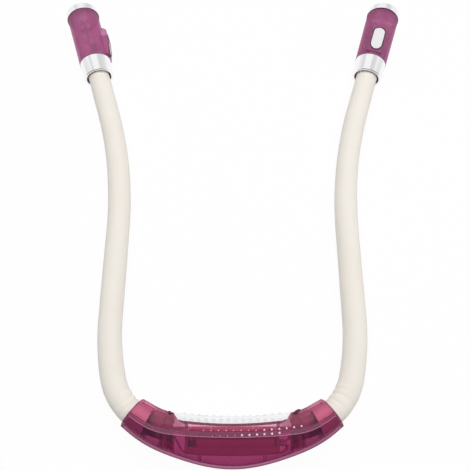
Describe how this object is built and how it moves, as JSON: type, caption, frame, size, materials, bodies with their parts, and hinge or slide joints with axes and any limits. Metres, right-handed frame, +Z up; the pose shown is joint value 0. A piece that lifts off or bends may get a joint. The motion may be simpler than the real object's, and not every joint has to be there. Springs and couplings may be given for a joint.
{
  "type": "neck reading light",
  "caption": "Wearable reading light: a battery housing worn behind the neck, two bendable foam-sleeved arms and a see-through lamp head with a push button on each arm.",
  "frame": {"origin": "middle of the flat on the underside of the battery housing, on which the light lies", "axes": "+X to the right arm, +Y from the housing to the lamp heads, +Z up from the table"},
  "size_m": [0.2542, 0.33, 0.0264],
  "materials": {
    "shell_purple": "gloss, see-through",
    "shell_pink": "gloss, see-through",
    "barrel_magenta": "gloss, see-through",
    "clear_gel": "clear and soft, with small nubs",
    "tray_maroon": "satin",
    "steel": "plain",
    "cell_jacket": "bare, satin",
    "contact_nickel": "nickel plated",
    "wire": "satin",
    "foam": "matt foam",
    "gooseneck_steel": "satin",
    "anchor_black": "satin",
    "collar_chrome": "bright",
    "bezel_silver": "bright",
    "lens_clear": "clear",
    "reflector_mirror": "bright",
    "lamp_clear": "clear",
    "board_green": "satin",
    "button_white": "satin",
    "brass": "turned"
  },
  "bodies": {
    "housing": {"outer_shell": "shell_purple", "inner_shell": "shell_pink", "housing_screws": "steel", "battery_tray": "tray_maroon", "upper_battery_cell": "cell_jacket", "lower_battery_cell": "cell_jacket", "bridge_contact": "contact_nickel", "positive_contact": "contact_nickel", "negative_contact": "contact_nickel", "left_feed_wires": "wire", "right_feed_wires": "wire", "left_sleeve_root": "foam", "left_gooseneck_root": "gooseneck_steel", "left_gooseneck_anchor": "anchor_black", "right_sleeve_root": "foam", "right_gooseneck_root": "gooseneck_steel", "right_gooseneck_anchor": "anchor_black"},
    "lid": {"battery_lid": "shell_pink", "neck_cushion": "clear_gel"},
    "left_arm_lower": {"left_sleeve_lower": "foam", "left_gooseneck_lower": "gooseneck_steel"},
    "left_arm_upper": {"left_sleeve_upper": "foam", "left_gooseneck_upper": "gooseneck_steel"},
    "left_arm_tip": {"left_sleeve_tip": "foam", "left_gooseneck_tip": "gooseneck_steel", "left_ferrule": "brass"},
    "left_head": {"left_collar": "collar_chrome", "left_barrel_button_half": "barrel_magenta", "left_barrel_plain_half": "barrel_magenta", "left_bezel": "bezel_silver", "left_lens": "lens_clear", "left_reflector": "reflector_mirror", "left_lamps": "lamp_clear", "left_circuit_board": "board_green", "left_switch": "anchor_black", "left_lead_wires": "wire"},
    "left_button": {"left_push_button": "button_white"},
    "right_arm_lower": {"right_sleeve_lower": "foam", "right_gooseneck_lower": "gooseneck_steel"},
    "right_arm_upper": {"right_sleeve_upper": "foam", "right_gooseneck_upper": "gooseneck_steel"},
    "right_arm_tip": {"right_sleeve_tip": "foam", "right_gooseneck_tip": "gooseneck_steel", "right_ferrule": "brass"},
    "right_head": {"right_collar": "collar_chrome", "right_barrel_button_half": "barrel_magenta", "right_barrel_plain_half": "barrel_magenta", "right_bezel": "bezel_silver", "right_lens": "lens_clear", "right_reflector": "reflector_mirror", "right_lamps": "lamp_clear", "right_circuit_board": "board_green", "right_switch": "anchor_black", "right_lead_wires": "wire"},
    "right_button": {"right_push_button": "button_white"}
  },
  "joints": [
    {"name": "lid_off", "type": "slide", "parent": "housing", "child": "lid", "axis": [0, 1, 0], "range_m": [0, 0.035]},
    {"name": "left_arm_spread", "type": "hinge", "parent": "housing", "child": "left_arm_lower", "pos_m": [-0.06744, 0.02864, 0.01185], "axis": [0, 0, 1], "range_deg": [-12, 25]},
    {"name": "left_arm_lift", "type": "hinge", "parent": "left_arm_lower", "child": "left_arm_upper", "pos_m": [-0.07537, 0.10853, 0.01185], "axis": [1, 0, 0], "range_deg": [-30, 45]},
    {"name": "left_head_aim", "type": "hinge", "parent": "left_arm_upper", "child": "left_arm_tip", "pos_m": [-0.09238, 0.23658, 0.01185], "axis": [0.9558, 0.294, 0], "range_deg": [-45, 45]},
    {"name": "left_head_turn", "type": "hinge", "parent": "left_arm_tip", "child": "left_head", "pos_m": [-0.09767, 0.25379, 0.01185], "axis": [-0.294, 0.9558, 0], "range_deg": [-180, 0]},
    {"name": "left_button_press", "type": "slide", "parent": "left_head", "child": "left_button", "axis": [-0.9558, -0.294, 0], "range_m": [0, 0.0006], "stiffness_N_per_m": 2500},
    {"name": "right_arm_spread", "type": "hinge", "parent": "housing", "child": "right_arm_lower", "pos_m": [0.06744, 0.02864, 0.01185], "axis": [0, 0, -1], "range_deg": [-12, 25]},
    {"name": "right_arm_lift", "type": "hinge", "parent": "right_arm_lower", "child": "right_arm_upper", "pos_m": [0.07537, 0.10853, 0.01185], "axis": [1, 0, 0], "range_deg": [-30, 45]},
    {"name": "right_head_aim", "type": "hinge", "parent": "right_arm_upper", "child": "right_arm_tip", "pos_m": [0.09238, 0.23658, 0.01185], "axis": [0.9558, -0.294, 0], "range_deg": [-45, 45]},
    {"name": "right_head_turn", "type": "hinge", "parent": "right_arm_tip", "child": "right_head", "pos_m": [0.09767, 0.25379, 0.01185], "axis": [0.294, 0.9558, 0], "range_deg": [-90, 90]},
    {"name": "right_button_press", "type": "slide", "parent": "right_head", "child": "right_button", "axis": [0, 0, -1], "range_m": [0, 0.0006], "stiffness_N_per_m": 2500}
  ]
}
